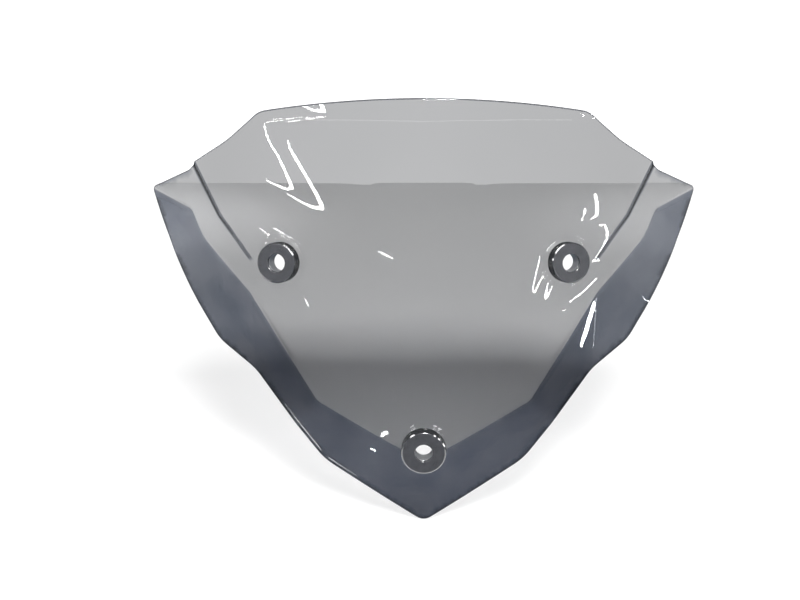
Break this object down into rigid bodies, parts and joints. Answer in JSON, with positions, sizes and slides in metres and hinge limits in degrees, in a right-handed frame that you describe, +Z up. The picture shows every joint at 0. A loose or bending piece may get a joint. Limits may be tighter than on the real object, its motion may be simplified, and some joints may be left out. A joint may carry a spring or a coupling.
{
  "type": "motorcycle windshield screen",
  "caption": "Smoked clear fly screen with a turned-back V flange, stepped side wings, an upper lip and round fixing bosses with through holes.",
  "frame": {"origin": "middle of the fixing points, on the front face of the panel at their holes", "axes": "+Z up with the screen leaned back as it is mounted, -Y forward out of the front face, X across"},
  "size_m": [0.3056, 0.088, 0.2459],
  "materials": {
    "smoked_screen": "clear smoked polycarbonate, polished",
    "smoked_boss": "thick smoked polycarbonate, glossy",
    "sleeve_steel": "fine turned, zinc plated",
    "damper_rubber": "matt black"
  },
  "bodies": {
    "root": {"screen_panel": "smoked_screen", "mount_boss_left": "smoked_boss", "mount_boss_right": "smoked_boss", "mount_boss_lower": "smoked_boss", "sleeve_left": "sleeve_steel", "sleeve_right": "sleeve_steel", "sleeve_lower": "sleeve_steel", "damper_left": "damper_rubber", "damper_right": "damper_rubber", "damper_lower": "damper_rubber"}
  },
  "joints": []
}
